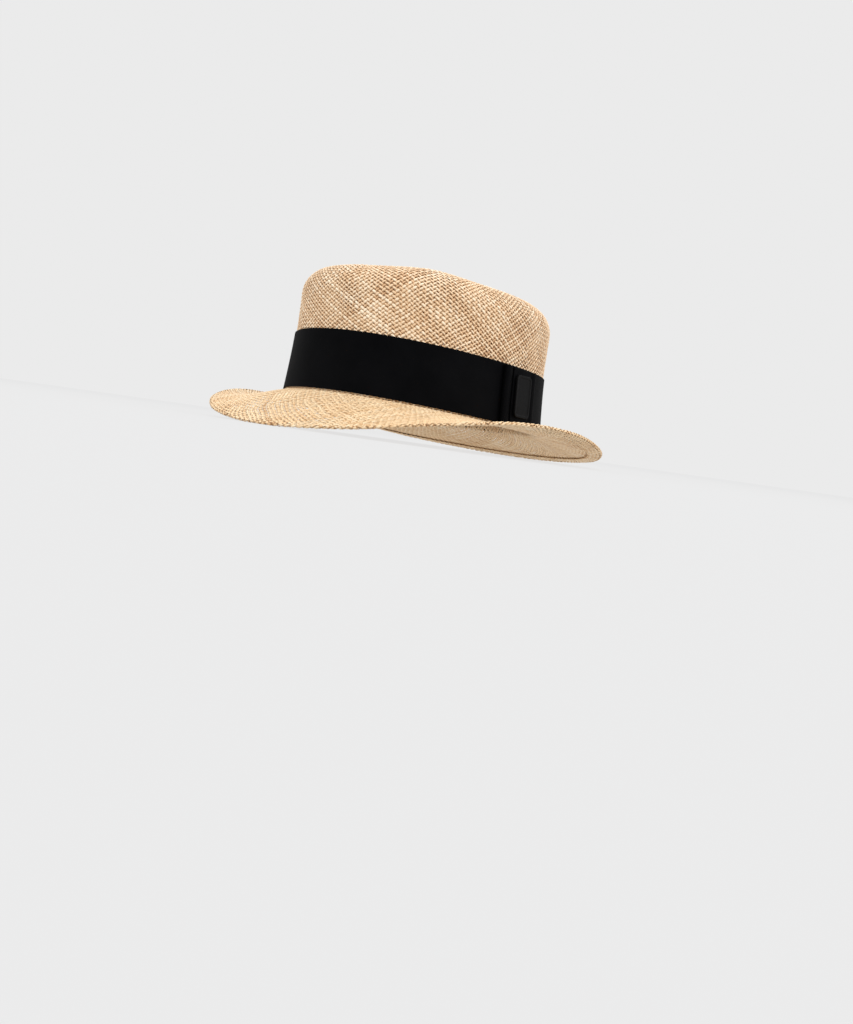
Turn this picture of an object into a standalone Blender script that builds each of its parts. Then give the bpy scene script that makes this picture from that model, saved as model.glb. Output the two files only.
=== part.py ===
"""Woven straw hat with a flat-topped crown, a snapped brim and a black ribbon with a flat bow.

The hat is modelled level, +Z up, with the wearer's front towards -Y and the wearer's left
towards +X. The line where the crown meets the brim (the break) lies at height 0. An azimuth
runs from the front towards the wearer's left. At the end the whole hat is pitched and lifted,
so that it rests on the front and the back of its brim at Z = 0.
"""

import math
from collections import namedtuple

import bmesh
import bpy
import numpy as np
from mathutils import Matrix, Vector

# Overall sizes, in metres
CROWN_LENGTH = 0.2030    # front to back at the break, outside the straw
CROWN_WIDTH = 0.1740     # side to side at the break, outside the straw
CROWN_HEIGHT = 0.0880    # break to the crest of the rim
BRIM_WIDTH = 0.0506      # break to edge in plan, at the front
BRIM_DIP = 0.0267        # how far the front edge falls below the break

# Straw
STRAW_WALL = 0.0010      # one layer of woven straw
CLEARANCE = 0.0003       # between pieces that lie on each other
BREAK_RADIUS = 0.0015    # turn from the collar into the brim
BREAK_SADDLE = 0.0010    # the break rises this far at front and back and falls at the sides
COLLAR_HEIGHT = 0.0110   # the brim's upstand, inside the foot of the crown
HEM_WIDTH = 0.0090       # the brim's edge is turned under by this much
BRIM_DISH = 0.0032       # how far the sides of the brim sag before they curl up again

# Top of the crown
RIM_RADIUS = 0.0184      # rounding from the wall onto the top
TOP_SLOPE = 0.0150       # width of the slope from the crest down to the flat tip
TOP_SINK = 0.0050        # the tip lies this far below the crest
CROWN_LEAN = 0.0029      # the top stands this far in front of the break
CREST_FALL = 0.0016      # the crest is this much lower at the front, and higher at the back

# Ribbon
RIBBON_HEIGHT = 0.0395   # width of the ribbon, which stands on the brim
RIBBON_SEAT = 0.0006     # lower edge of the ribbon above the break
RIBBON_WALL = 0.0007     # thickness of the ribbon

# Bow, on the wearer's left
BOW_AZIMUTH = 87.5       # degrees, middle of the bow
BOW_LENGTH = 0.0350      # along the ribbon
BOW_FULLNESS = 0.0027    # how far the loops open beyond their two layers
KNOT_WIDTH = 0.0205      # along the ribbon

# Plain plate on the knot
PLATE_WIDTH = 0.0175
PLATE_HEIGHT = 0.0280
PLATE_WALL = 0.0014
PLATE_CORNER = 0.0030    # radius of the plate's corners
PLATE_FRAME = 0.0014     # width of the raised frame round the plate's face
PLATE_FIELD = 0.0004     # the field lies this far below the frame
PLATE_BEVEL = 0.0002

# How finely the round shapes are cut
AZIMUTH_STEPS = 64       # round the hat; an even count puts a short flat edge at front and back
RIM_STEPS = 6
BREAK_STEPS = 2
FOLD_STEPS = 4
HEM_STEPS = 2
RIBBON_STEPS = 3
CORNER_STEPS = 4
SHARP_ANGLE = 40.0       # degrees; edges sharper than this stay crisp
TANGENT_STEP = 0.01      # share of the brim's width over which its slope is read
PITCH_LIMIT = 22.5       # degrees; the resting pitch is looked for within this
PITCH_HALVINGS = 60

# Brim by azimuth (degrees): its width as a share of BRIM_WIDTH, how far its edge lies below the
# break as a share of BRIM_DIP, and how much of BRIM_DISH it has
BrimRow = namedtuple("BrimRow", "azimuth width fall dish")
BRIM_FORM = (
    BrimRow(0.0, 1.000, 1.000, 0.00),
    BrimRow(22.5, 0.988, 0.825, 0.08),
    BrimRow(45.0, 0.954, 0.398, 0.40),
    BrimRow(67.5, 0.920, 0.020, 0.85),
    BrimRow(90.0, 0.905, -0.045, 1.00),
    BrimRow(112.5, 0.918, 0.135, 1.00),
    BrimRow(135.0, 0.950, 0.325, 0.80),
    BrimRow(157.5, 0.982, 0.430, 0.50),
    BrimRow(180.0, 0.995, 0.475, 0.35),
)

# Section of the brim from the break (reach 0) to the edge (reach 1): shares of the fall and dish
SectionRow = namedtuple("SectionRow", "reach fall dish")
BRIM_SECTION = (
    SectionRow(0.00, 0.00, 0.00),
    SectionRow(0.16, 0.12, 0.50),
    SectionRow(0.36, 0.32, 0.92),
    SectionRow(0.58, 0.56, 1.00),
    SectionRow(0.80, 0.80, 0.62),
    SectionRow(1.00, 1.00, 0.00),
)

# Wall of the crown by height, as a share of CROWN_HEIGHT: its girth as a share of the break's
WallRow = namedtuple("WallRow", "height girth")
CROWN_WALL = (
    WallRow(0.00, 1.000),
    WallRow(0.20, 0.983),
    WallRow(0.45, 0.968),
    WallRow(0.65, 0.970),
    WallRow(0.80, 0.977),
    WallRow(1.00, 0.977),
)

# Slope from the crest (inset 0) to the flat tip (inset 1), as shares of TOP_SLOPE and TOP_SINK
TopRow = namedtuple("TopRow", "inset sink")
CROWN_TOP = (
    TopRow(0.30, 0.10),
    TopRow(0.60, 0.52),
    TopRow(0.82, 0.90),
    TopRow(1.00, 1.00),
)

# Half of the bow from the knot (reach 0) to the end of the loop (reach 1): how much of the
# knot's lift and of the fullness the loop has, and its height as a share of the ribbon's
BowRow = namedtuple("BowRow", "reach lift fullness height")
BOW_FORM = (
    BowRow(0.00, 1.00, 0.00, 0.90),
    BowRow(0.67, 1.00, 0.02, 0.90),
    BowRow(0.77, 0.75, 0.35, 0.93),
    BowRow(0.88, 0.35, 0.80, 0.98),
    BowRow(1.00, 0.10, 1.00, 1.00),
)

STRAW_COLOUR = (0.74, 0.53, 0.31, 1.0)
RIBBON_COLOUR = (0.010, 0.010, 0.013, 1.0)
PLATE_COLOUR = (0.022, 0.022, 0.024, 1.0)


def clear_scene():
    for thing in list(bpy.data.objects):
        bpy.data.objects.remove(thing, do_unlink=True)


def new_material(name, colour, roughness, metallic):
    material = bpy.data.materials.new(name)
    material.use_nodes = True
    shader = material.node_tree.nodes["Principled BSDF"]
    shader.inputs["Base Color"].default_value = colour
    shader.inputs["Roughness"].default_value = roughness
    shader.inputs["Metallic"].default_value = metallic
    return material


def read_row(rows, column, at, level_ends=False):
    """Value of one column where the first column is `at`, on a smooth curve through the rows."""
    places = [row[0] for row in rows]
    values = [getattr(row, column) for row in rows]
    slopes = [(b - a) / (q - p) for a, b, p, q in zip(values, values[1:], places, places[1:])]
    ends = (0.0, 0.0) if level_ends else (slopes[0], slopes[-1])
    tangents = [ends[0]] + [(a + b) / 2 for a, b in zip(slopes, slopes[1:])] + [ends[1]]
    span = 0
    while span < len(rows) - 2 and at > places[span + 1]:
        span += 1
    length = places[span + 1] - places[span]
    t = min(max((at - places[span]) / length, 0.0), 1.0)
    start = (2 * t**3 - 3 * t**2 + 1) * values[span] + (t**3 - 2 * t**2 + t) * length * tangents[span]
    end = (3 * t**2 - 2 * t**3) * values[span + 1] + (t**3 - t**2) * length * tangents[span + 1]
    return start + end


def azimuths():
    """Azimuths of the columns, in radians. No column lies at the very front or back."""
    return [2 * math.pi * (step + 0.5) / AZIMUTH_STEPS for step in range(AZIMUTH_STEPS)]


def oval_point(azimuth, half_width, half_length, outward, height, lean=0.0):
    """Point on an oval, moved outward along the oval's own normal and forward by the lean."""
    x, y = half_width * math.sin(azimuth), -half_length * math.cos(azimuth)
    normal = Vector((math.sin(azimuth) / half_width, -math.cos(azimuth) / half_length)).normalized()
    return Vector((x + outward * normal.x, y + outward * normal.y - lean, height))


def wall_point(azimuth, height, outward):
    """Point on the crown's wall or on what lies on it, at a height above the break."""
    share = height / CROWN_HEIGHT
    girth = read_row(CROWN_WALL, "girth", share)
    top = min(max((height - RIBBON_HEIGHT) / (CROWN_HEIGHT - RIM_RADIUS - RIBBON_HEIGHT), 0.0), 1.0)
    swing = BREAK_SADDLE * math.cos(2 * azimuth) * (1 - top) - CREST_FALL * math.cos(azimuth) * top
    return oval_point(azimuth, CROWN_WIDTH / 2 * girth, CROWN_LENGTH / 2 * girth, outward,
                      height + swing, CROWN_LEAN * share)


def loft(name, columns, capped=False):
    """Closed ring of faces through columns of points, each column running up its outer side."""
    mesh = bpy.data.meshes.new(name)
    cage = bmesh.new()
    lines = [[cage.verts.new(point) for point in column] for column in columns]
    for here, after in zip(lines, lines[1:] + lines[:1]):
        for low in range(len(here) - 1):
            cage.faces.new((here[low], after[low], after[low + 1], here[low + 1]))
    if capped:
        cage.faces.new([line[-1] for line in lines])
    cage.to_mesh(mesh)
    cage.free()
    return mesh


def new_part(name, mesh, material, hat, collection):
    mesh.materials.append(material)
    mesh.shade_smooth()
    mesh.set_sharp_from_angle(angle=math.radians(SHARP_ANGLE))
    part = bpy.data.objects.new(name, mesh)
    collection.objects.link(part)
    part.parent = hat
    return part


def add_wall(part, thickness):
    """Turns the part's open outer face into a wall that grows inwards."""
    wall = part.modifiers.new("wall", "SOLIDIFY")
    wall.thickness = thickness
    wall.offset = -1.0
    wall.use_even_offset = True
    wall.use_quality_normals = True


def wall_heights():
    """Heights of the crown's wall rows: the foot, the ribbon's own rows and the wall above it."""
    rim_start = CROWN_HEIGHT - RIM_RADIUS
    ribbon_top = RIBBON_SEAT + RIBBON_HEIGHT
    heights = [BREAK_RADIUS]
    heights += [RIBBON_SEAT + RIBBON_HEIGHT * step / RIBBON_STEPS for step in range(1, RIBBON_STEPS + 1)]
    heights += [(ribbon_top + rim_start) / 2, rim_start]
    return heights


def crown_column(azimuth):
    """One line up the outside of the crown, from the foot over the rim to the flat tip."""
    column = [wall_point(azimuth, height, 0.0) for height in wall_heights()]
    rim_start = CROWN_HEIGHT - RIM_RADIUS
    girth = read_row(CROWN_WALL, "girth", rim_start / CROWN_HEIGHT)
    half_width, half_length = CROWN_WIDTH / 2 * girth, CROWN_LENGTH / 2 * girth
    fall = CREST_FALL * math.cos(azimuth)
    for step in range(1, RIM_STEPS + 1):
        turn = math.pi / 2 * step / RIM_STEPS
        inset = RIM_RADIUS * (1 - math.cos(turn))
        height = rim_start + RIM_RADIUS * math.sin(turn)
        column.append(oval_point(azimuth, half_width - inset, half_length - inset, 0.0,
                                 height - fall, CROWN_LEAN))
    for row in CROWN_TOP:
        inset = RIM_RADIUS + TOP_SLOPE * row.inset
        height = CROWN_HEIGHT - TOP_SINK * row.sink
        column.append(oval_point(azimuth, half_width - inset, half_length - inset, 0.0,
                                 height - fall * (1 - row.sink), CROWN_LEAN))
    return column


def brim_top(azimuth, reach):
    """How far out and how high the brim's upper face is at a share of its width."""
    degrees = abs(math.degrees(azimuth))
    degrees = min(degrees, 360.0 - degrees)
    width = BRIM_WIDTH * read_row(BRIM_FORM, "width", degrees, True)
    fall = BRIM_DIP * read_row(BRIM_FORM, "fall", degrees, True)
    dish = BRIM_DISH * read_row(BRIM_FORM, "dish", degrees, True)
    start = BREAK_RADIUS - STRAW_WALL - CLEARANCE
    outward = start + (width - start) * reach
    drop = fall * read_row(BRIM_SECTION, "fall", reach) + dish * read_row(BRIM_SECTION, "dish", reach)
    return Vector((outward, -drop))


def brim_below(azimuth, reach, depth):
    """Point at a depth under the brim's upper face, square to it, and the two directions there."""
    along = (brim_top(azimuth, reach) - brim_top(azimuth, reach - TANGENT_STEP)).normalized()
    up = Vector((-along.y, along.x))
    return brim_top(azimuth, reach) - up * depth, along, up


def brim_section(azimuth):
    """The brim from the break over its upper face and round the hem, as (outward, height)."""
    hem_radius = STRAW_WALL + CLEARANCE / 2
    reach_per_metre = 1 / (brim_top(azimuth, 1.0).x - brim_top(azimuth, 0.0).x)
    last = 1.0 - hem_radius * reach_per_metre
    section = [brim_top(azimuth, row.reach * last) for row in BRIM_SECTION[:-1]]
    centre, along, up = brim_below(azimuth, last, hem_radius)
    for step in range(FOLD_STEPS + 1):
        turn = math.pi * step / FOLD_STEPS
        section.append(centre + up * hem_radius * math.cos(turn) + along * hem_radius * math.sin(turn))
    for step in range(1, HEM_STEPS + 1):
        reach = last - HEM_WIDTH * step / HEM_STEPS * reach_per_metre
        section.append(brim_below(azimuth, reach, 2 * hem_radius)[0])
    return section


def brim_column(azimuth):
    """One line over the brim, from the inner edge of the hem to the top of the collar."""
    swing = BREAK_SADDLE * math.cos(2 * azimuth)
    column = []
    for outward, height in reversed(brim_section(azimuth)):
        fade = 1 - min(max(outward, 0.0) / BRIM_WIDTH, 1.0)
        column.append(oval_point(azimuth, CROWN_WIDTH / 2, CROWN_LENGTH / 2, outward,
                                 height + swing * fade))
    inside = -STRAW_WALL - CLEARANCE
    for step in range(1, BREAK_STEPS + 1):
        turn = math.pi / 2 * step / BREAK_STEPS
        column.append(wall_point(azimuth, BREAK_RADIUS * (1 - math.cos(turn)),
                                 inside + BREAK_RADIUS * (1 - math.sin(turn))))
    column.append(wall_point(azimuth, COLLAR_HEIGHT, inside))
    return column


def ribbon_point(azimuth, height, outward):
    """Point at a distance outside the ribbon's outer face."""
    return wall_point(azimuth, height, CLEARANCE + RIBBON_WALL + outward)


def ribbon_column(azimuth):
    rows = [RIBBON_SEAT + RIBBON_HEIGHT * step / RIBBON_STEPS for step in range(RIBBON_STEPS + 1)]
    return [ribbon_point(azimuth, height, 0.0) for height in rows]


def azimuth_along_ribbon(distance):
    """Azimuth at a distance along the ribbon from the middle of the bow, towards the back."""
    middle = math.radians(BOW_AZIMUTH)
    per_radian = math.hypot(CROWN_WIDTH / 2 * math.cos(middle), CROWN_LENGTH / 2 * math.sin(middle))
    return middle + distance / per_radian


def bow_layers(reach):
    """Outer face of the bow's back layer and of its front layer, outside the ribbon."""
    back = CLEARANCE + (RIBBON_WALL + CLEARANCE) * read_row(BOW_FORM, "lift", reach)
    gap = CLEARANCE + BOW_FULLNESS * read_row(BOW_FORM, "fullness", reach)
    return back, back + 2 * RIBBON_WALL + gap


def bow_path():
    """Loop in plan as (distance along the ribbon, outward, reach): front layer, fold, back layer."""
    back_end, front_end = bow_layers(1.0)
    fold = (front_end - back_end) / 2
    half_length = BOW_LENGTH / 2 - fold
    reaches = [row.reach for row in BOW_FORM]
    there = [-reach for reach in reversed(reaches)] + reaches[1:]
    path = [(half_length * reach, bow_layers(abs(reach))[1], abs(reach)) for reach in there]
    turns = [math.pi * step / FOLD_STEPS for step in range(1, FOLD_STEPS)]
    middle = (front_end + back_end) / 2
    path += [(half_length + fold * math.sin(t), middle + fold * math.cos(t), 1.0) for t in turns]
    path += [(half_length * reach, bow_layers(abs(reach))[0], abs(reach)) for reach in reversed(there)]
    path += [(-half_length - fold * math.sin(t), middle - fold * math.cos(t), 1.0) for t in turns]
    return path


def bow_columns():
    columns = []
    middle = RIBBON_SEAT + RIBBON_HEIGHT / 2
    for distance, outward, reach in bow_path():
        azimuth = azimuth_along_ribbon(distance)
        half = RIBBON_HEIGHT / 2 * read_row(BOW_FORM, "height", reach)
        heights = (middle - half, middle, middle + half)
        columns.append([ribbon_point(azimuth, height, outward) for height in heights])
    return columns


def knot_columns():
    """Band round the middle of the bow: a rounded loop of (outward, height) swept along it."""
    back = CLEARANCE
    front = bow_layers(0.0)[1] + CLEARANCE + RIBBON_WALL
    half = RIBBON_HEIGHT / 2 * BOW_FORM[0].height + CLEARANCE + RIBBON_WALL
    middle = RIBBON_SEAT + RIBBON_HEIGHT / 2
    corner = RIBBON_WALL + CLEARANCE
    corners = ((front, -1, 1, 0.0), (front, 1, 1, 0.5), (back, 1, -1, 1.0), (back, -1, -1, 1.5))
    loop = []
    for outward, side, face, start in corners:
        centre = (outward - face * corner, side * (half - corner))
        for step in range(FOLD_STEPS):
            turn = math.pi * (start - 0.5 + 0.5 * step / (FOLD_STEPS - 1))
            loop.append((centre[0] + corner * math.cos(turn), centre[1] + corner * math.sin(turn)))
    columns = []
    for outward, height in loop:
        places = [KNOT_WIDTH * share for share in (0.5, 0.0, -0.5)]
        columns.append([ribbon_point(azimuth_along_ribbon(place), middle + height, outward)
                        for place in places])
    return columns


def plate_mesh():
    """Flat plate with rounded corners and a sunk field, its back on z = 0 and its face up."""
    mesh = bpy.data.meshes.new("plate")
    cage = bmesh.new()
    size = Matrix.Diagonal((PLATE_WIDTH, PLATE_HEIGHT, PLATE_WALL, 1.0))
    bmesh.ops.create_cube(cage, size=1.0, matrix=Matrix.Translation((0, 0, PLATE_WALL / 2)) @ size)
    upright = [edge for edge in cage.edges
               if abs(edge.verts[0].co.z - edge.verts[1].co.z) > PLATE_WALL / 2]
    bmesh.ops.bevel(cage, geom=upright, offset=PLATE_CORNER, segments=CORNER_STEPS, profile=0.5,
                    affect="EDGES")
    face = max(cage.faces, key=lambda polygon: polygon.calc_center_median().z)
    bmesh.ops.inset_region(cage, faces=[face], thickness=PLATE_FRAME)
    bmesh.ops.inset_region(cage, faces=[face], thickness=PLATE_FIELD, depth=-PLATE_FIELD)
    cage.to_mesh(mesh)
    cage.free()
    return mesh


def plate_place():
    """Where the plate lies: square to the ribbon at the middle of the bow, clear of the knot."""
    azimuth = math.radians(BOW_AZIMUTH)
    middle = RIBBON_SEAT + RIBBON_HEIGHT / 2
    centre = ribbon_point(azimuth, middle, 0.0)
    up = (ribbon_point(azimuth, middle + RIBBON_HEIGHT / 4, 0.0) - centre).normalized()
    outward = Vector((math.sin(azimuth) / CROWN_WIDTH, -math.cos(azimuth) / CROWN_LENGTH, 0.0))
    outward = (outward - up * outward.dot(up)).normalized()
    along = up.cross(outward)
    under = [point - centre for column in bow_columns() + knot_columns() for point in column]
    under = [point for point in under if abs(point.dot(along)) < PLATE_WIDTH / 2 + KNOT_WIDTH / 2]
    seat = max(point.dot(outward) for point in under) + CLEARANCE
    turn = Matrix((along, up, outward)).transposed().to_4x4()
    return Matrix.Translation(centre + outward * seat) @ turn


def points_of(part):
    """Corners of a part's finished mesh, before the hat is pitched."""
    bpy.context.view_layer.update()
    shape = part.evaluated_get(bpy.context.evaluated_depsgraph_get()).to_mesh()
    return np.array([vertex.co[:] for vertex in shape.vertices])


def rest_on_brim(hat, brim):
    """Pitches the hat until front and back of the brim are level, and stands it on Z = 0."""
    points = points_of(brim)
    low, high = math.radians(-PITCH_LIMIT), math.radians(PITCH_LIMIT)
    for _ in range(PITCH_HALVINGS):
        pitch = (low + high) / 2
        heights = points[:, 1] * math.sin(pitch) + points[:, 2] * math.cos(pitch)
        if heights[points[:, 1] < 0].min() < heights[points[:, 1] > 0].min():
            high = pitch
        else:
            low = pitch
    depths = points[:, 1] * math.cos(pitch) - points[:, 2] * math.sin(pitch)
    hat.rotation_euler.x = pitch
    hat.location = (0.0, -(depths.min() + depths.max()) / 2, -heights.min())


def build():
    clear_scene()
    collection = bpy.data.collections.new("straw_hat")
    bpy.context.scene.collection.children.link(collection)
    hat = bpy.data.objects.new("hat", None)
    collection.objects.link(hat)

    straw = new_material("straw", STRAW_COLOUR, 0.62, 0.0)
    brim_straw = new_material("brim_straw", STRAW_COLOUR, 0.62, 0.0)
    ribbon = new_material("ribbon", RIBBON_COLOUR, 0.42, 0.0)
    bow = new_material("bow_ribbon", RIBBON_COLOUR, 0.42, 0.0)
    knot = new_material("knot_ribbon", RIBBON_COLOUR, 0.42, 0.0)
    enamel = new_material("plate_enamel", PLATE_COLOUR, 0.35, 0.0)

    crown_mesh = loft("crown", [crown_column(azimuth) for azimuth in azimuths()], capped=True)
    crown = new_part("crown", crown_mesh, straw, hat, collection)
    add_wall(crown, STRAW_WALL)

    brim_mesh = loft("brim", [brim_column(azimuth) for azimuth in azimuths()])
    brim = new_part("brim", brim_mesh, brim_straw, hat, collection)
    add_wall(brim, STRAW_WALL)

    band_mesh = loft("ribbon_band", [ribbon_column(azimuth) for azimuth in azimuths()])
    band = new_part("ribbon_band", band_mesh, ribbon, hat, collection)
    add_wall(band, RIBBON_WALL)

    loops = new_part("bow_loops", loft("bow_loops", bow_columns()), bow, hat, collection)
    add_wall(loops, RIBBON_WALL)

    wrap = new_part("bow_knot", loft("bow_knot", knot_columns()), knot, hat, collection)
    add_wall(wrap, RIBBON_WALL)

    plate = new_part("plate", plate_mesh(), enamel, hat, collection)
    plate.matrix_local = plate_place()
    edge = plate.modifiers.new("edge", "BEVEL")
    edge.width = PLATE_BEVEL
    edge.segments = 1
    edge.limit_method = "ANGLE"
    edge.angle_limit = math.radians(SHARP_ANGLE)

    rest_on_brim(hat, brim)


build()
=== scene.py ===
import math

import bpy
import numpy as np
from mathutils import Matrix, Vector


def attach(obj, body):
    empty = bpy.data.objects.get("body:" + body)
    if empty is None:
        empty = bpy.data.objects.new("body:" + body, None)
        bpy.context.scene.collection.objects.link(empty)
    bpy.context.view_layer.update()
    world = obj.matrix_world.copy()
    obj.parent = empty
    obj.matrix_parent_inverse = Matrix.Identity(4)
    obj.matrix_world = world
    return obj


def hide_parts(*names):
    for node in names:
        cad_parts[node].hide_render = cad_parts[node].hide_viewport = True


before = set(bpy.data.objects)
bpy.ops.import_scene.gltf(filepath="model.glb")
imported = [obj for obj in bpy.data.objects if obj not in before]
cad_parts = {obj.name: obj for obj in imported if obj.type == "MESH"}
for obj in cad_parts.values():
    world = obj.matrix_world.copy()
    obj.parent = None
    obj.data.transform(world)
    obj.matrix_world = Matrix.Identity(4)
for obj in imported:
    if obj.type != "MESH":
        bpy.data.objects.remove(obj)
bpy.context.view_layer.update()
print("frame loaded with", len(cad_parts), "solids")

# The hat's own sizes in metres, as in the part's source. Height 0 is the break between crown and
# brim, the front looks to -Y, and a share runs once round the hat from the front over the
# wearer's left.
hat = {
    "crownLength": 0.2030,
    "crownWidth": 0.1740,
    "crownHeight": 0.0880,
    "brimWidth": 0.0506,
    "brimDip": 0.0267,
    "brimDish": 0.0032,
    "strawWall": 0.0010,
    "clearance": 0.0003,
    "breakRadius": 0.0015,     # of the bend from the crown into the brim
    "breakSaddle": 0.0010,     # how much higher the break is at front and back
    "collarHeight": 0.0110,    # how far the brim goes up inside the crown
    "hemWidth": 0.0090,
    "rimRadius": 0.0184,
    "topSlope": 0.0150,        # width of the slope from the rim down to the flat top
    "topSink": 0.0050,
    "tipRun": 0.0587,          # mean half width of the flat top
    "crownLean": 0.0029,       # how far the crown leans to the front
    "crestFall": 0.0016,       # fall of the rim to the front, and its rise to the back
    "humpHeight": 0.0024,      # rise of the rim left of the front, with its azimuth and spread
    "humpAzimuth": 41.0,       # in degrees
    "humpSpread": 13.0,
    "ribbonHeight": 0.0395,
    "ribbonWall": 0.0007,
    "pitch": -2.5548401565,    # degrees; at rest the hat tips back a little
    "place": (0.0, 0.000845391, 0.021356082),
}

# rows of (share of the crown's height, girth) and of (share of the top's slope, sink)
crownWall = ((0.0, 1.0), (0.20, 0.983), (0.45, 0.968), (0.65, 0.967), (0.80, 0.968), (1.0, 0.968))
crownTop = ((0.0, 0.0), (0.30, 0.10), (0.60, 0.52), (0.82, 0.90), (1.0, 1.0))

# the brim from front to back, as shares of its width, dip and dish
brimAngles = (0.0, 22.5, 45.0, 67.5, 90.0, 112.5, 135.0, 157.5, 180.0)
brimForm = {
    "brimWidth": (1.000, 0.988, 0.954, 0.920, 0.905, 0.918, 0.950, 0.982, 0.995),
    "brimDip": (1.000, 0.825, 0.398, 0.020, -0.045, 0.135, 0.325, 0.430, 0.475),
    "brimDish": (0.00, 0.08, 0.40, 0.85, 1.00, 1.00, 0.80, 0.50, 0.35),
}

# rows of (share of the way out over the brim, fall) and the same for its dish
brimFall = ((0.0, 0.0), (0.16, 0.12), (0.36, 0.32), (0.58, 0.56), (0.80, 0.80), (1.0, 1.0))
brimSag = ((0.0, 0.0), (0.16, 0.50), (0.36, 0.92), (0.58, 1.00), (0.80, 0.62), (1.0, 0.0))
hatMatrix = Matrix.Translation(hat["place"]) @ Matrix.Rotation(math.radians(hat["pitch"]), 4, "X")


def readRow(rows, at, levelEnds=False):
    # smooth curve through rows of (place, value)
    places, values = np.array(rows, float).T
    slopes = np.diff(values) / np.diff(places)
    ends = (0.0, 0.0) if levelEnds else (slopes[0], slopes[-1])
    tangents = np.concatenate(([ends[0]], (slopes[1:] + slopes[:-1]) / 2, [ends[1]]))
    span = np.clip(np.searchsorted(places, at, side="left") - 1, 0, len(slopes) - 1)
    length = places[span + 1] - places[span]
    t = np.clip((at - places[span]) / length, 0.0, 1.0)
    start = (2 * t**3 - 3 * t**2 + 1) * values[span]
    start = start + (t**3 - 2 * t**2 + t) * length * tangents[span]
    end = (3 * t**2 - 2 * t**3) * values[span + 1]
    end = end + (t**3 - t**2) * length * tangents[span + 1]
    return start + end


def lengthAlong(points):
    # length from the first point to each point of one or more paths
    steps = np.linalg.norm(np.diff(points, axis=-2), axis=-1)
    return np.concatenate((np.zeros(steps.shape[:-1] + (1,)), np.cumsum(steps, axis=-1)), -1)


def unit(vectors):
    return vectors / np.maximum(np.linalg.norm(vectors, axis=-1, keepdims=True), 1e-12)


def ovalPoint(azimuth, halfWidth, halfLength, outward, height, lean=0.0):
    x, y = halfWidth * np.sin(azimuth), -halfLength * np.cos(azimuth)
    across, along = np.sin(azimuth) / halfWidth, -np.cos(azimuth) / halfLength
    size = np.hypot(across, along)
    x, y = x + outward * across / size, y + outward * along / size - lean
    return np.stack(np.broadcast_arrays(x, y, height), -1)


def ovalGirth(halfWidth, halfLength):
    a, b = halfWidth, halfLength
    return math.pi * (3 * (a + b) - np.sqrt((3 * a + b) * (a + 3 * b)))


# azimuths at even steps of length round the crown
roundSteps = 1440
roundAzimuths = np.linspace(0, 2 * math.pi, roundSteps + 1)
roundShares = lengthAlong(ovalPoint(roundAzimuths, hat["crownWidth"] / 2, hat["crownLength"] / 2,
                                    0.0, 0.0))
roundShares /= roundShares[-1]


def azimuthAt(share):
    turns = np.floor(share)
    return np.interp(share - turns, roundShares, roundAzimuths) + 2 * math.pi * turns


# lengths up the crown's wall, round its rim and down the slope of its top
wallRun = hat["crownHeight"] - hat["rimRadius"]
rimRun = hat["rimRadius"] * math.pi / 2
slopeRun = hat["topSlope"]


def wallPoint(azimuth, height, outward):
    # point at a distance outside the crown's wall
    part = height / hat["crownHeight"]
    girth = readRow(crownWall, part)
    top = np.clip((height - hat["ribbonHeight"]) / (wallRun - hat["ribbonHeight"]), 0.0, 1.0)
    swing = hat["breakSaddle"] * np.cos(2 * azimuth) * (1 - top)
    swing = swing - hat["crestFall"] * np.cos(azimuth) * top
    return ovalPoint(azimuth, hat["crownWidth"] / 2 * girth, hat["crownLength"] / 2 * girth,
                     outward, height + swing, hat["crownLean"] * part)


def crownAxes(climb):
    # half axes of the crown's oval at a length up the wall, over the rim and in to the middle
    girth = readRow(crownWall, np.minimum(climb, wallRun) / hat["crownHeight"])
    turn = np.clip((climb - wallRun) / hat["rimRadius"], 0, math.pi / 2)
    slope = np.clip((climb - wallRun - rimRun) / slopeRun, 0, 1)
    inward = np.clip(climb - wallRun - rimRun - slopeRun, 0, hat["tipRun"] * 0.999)
    shrink = 1 - inward / hat["tipRun"]
    inset = hat["rimRadius"] * (1 - np.cos(turn)) + hat["topSlope"] * slope
    halfWidth = (hat["crownWidth"] / 2 * girth - inset) * shrink
    halfLength = (hat["crownLength"] / 2 * girth - inset) * shrink
    return halfWidth, halfLength, turn, slope


def crownPoint(share, climb):
    azimuth = azimuthAt(share)
    halfWidth, halfLength, turn, slope = crownAxes(climb)
    low = np.minimum(climb, wallRun)
    height = low + hat["rimRadius"] * np.sin(turn)
    sink = readRow(crownTop, slope, True)
    top = np.clip((low - hat["ribbonHeight"]) / (wallRun - hat["ribbonHeight"]), 0, 1)
    away = (np.degrees(azimuth) + 180) % 360 - 180 - hat["humpAzimuth"]
    crest = hat["humpHeight"] * np.exp(-(away / hat["humpSpread"])**2 / 2)
    crest = crest - hat["crestFall"] * np.cos(azimuth)
    swing = hat["breakSaddle"] * np.cos(2 * azimuth) * (1 - top) + crest * top * (1 - sink)
    lean = hat["crownLean"] * height / hat["crownHeight"]
    height = height + swing - hat["topSink"] * sink
    return ovalPoint(azimuth, halfWidth, halfLength, 0.0, height, lean)


def crownGirth(climb):
    halfWidth, halfLength, _, _ = crownAxes(climb)
    return ovalGirth(halfWidth, halfLength)


# lengths down the collar, round the break, over the brim and round its edge
hemRadius = hat["strawWall"] + hat["clearance"] / 2
collarRun = hat["collarHeight"] - hat["breakRadius"]
filletRun = hat["breakRadius"] * math.pi / 2
topRun = hat["brimWidth"] - hat["breakRadius"]
foldRun = hemRadius * math.pi


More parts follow.
